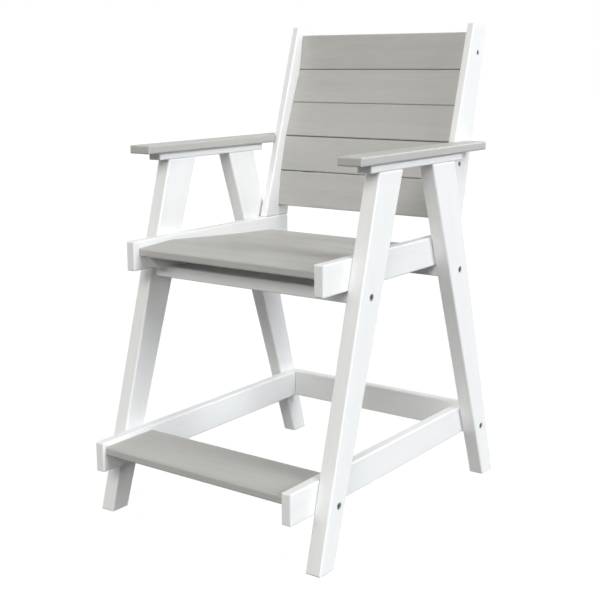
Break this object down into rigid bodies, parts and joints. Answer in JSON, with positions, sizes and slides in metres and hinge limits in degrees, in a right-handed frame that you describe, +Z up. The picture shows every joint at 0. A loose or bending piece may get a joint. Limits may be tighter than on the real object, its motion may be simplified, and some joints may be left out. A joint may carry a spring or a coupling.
{
  "type": "counter chair",
  "caption": "Counter-height outdoor armchair with splayed white legs, a white frame with a footrest, and grey slats for the hollowed back and seat.",
  "frame": {"origin": "at floor level, in the middle of the width and of the overall depth", "axes": "+Z up, -Y towards the front, +X towards the side that is on the right as seen from the front"},
  "size_m": [0.66, 0.835, 1.1445],
  "materials": {
    "white_lumber": "matt, eased edges",
    "grey_lumber": "matt, fine lengthwise grain",
    "fasteners": "dark, sunk below the surface"
  },
  "bodies": {
    "root": {"front_leg_left": "white_lumber", "front_leg_right": "white_lumber", "rear_leg_left": "white_lumber", "rear_leg_right": "white_lumber", "arm_block_left": "white_lumber", "arm_block_right": "white_lumber", "arm_left": "grey_lumber", "arm_right": "grey_lumber", "upright_left": "white_lumber", "upright_right": "white_lumber", "seat_rail_left": "white_lumber", "seat_rail_right": "white_lumber", "footrest_rail_left": "white_lumber", "footrest_rail_right": "white_lumber", "rear_stretcher": "white_lumber", "seat_crossbar_front": "white_lumber", "seat_crossbar_rear": "white_lumber", "seat_support_left": "white_lumber", "seat_support_right": "white_lumber", "back_support_left": "white_lumber", "back_support_right": "white_lumber", "seat_slat_1": "grey_lumber", "seat_slat_2": "grey_lumber", "seat_slat_3": "grey_lumber", "seat_slat_4": "grey_lumber", "seat_slat_5": "grey_lumber", "back_slat_1": "grey_lumber", "back_slat_2": "grey_lumber", "back_slat_3": "grey_lumber", "back_slat_4": "grey_lumber", "back_slat_5": "grey_lumber", "footrest_board": "grey_lumber", "bolt_front_high_left": "fasteners", "bolt_front_high_right": "fasteners", "bolt_front_low_left": "fasteners", "bolt_front_low_right": "fasteners", "bolt_rear_high_left": "fasteners", "bolt_rear_high_right": "fasteners", "bolt_rear_low_left": "fasteners", "bolt_rear_low_right": "fasteners", "screw_low_left": "fasteners", "screw_low_right": "fasteners", "screw_high_left": "fasteners", "screw_high_right": "fasteners"}
  },
  "joints": []
}
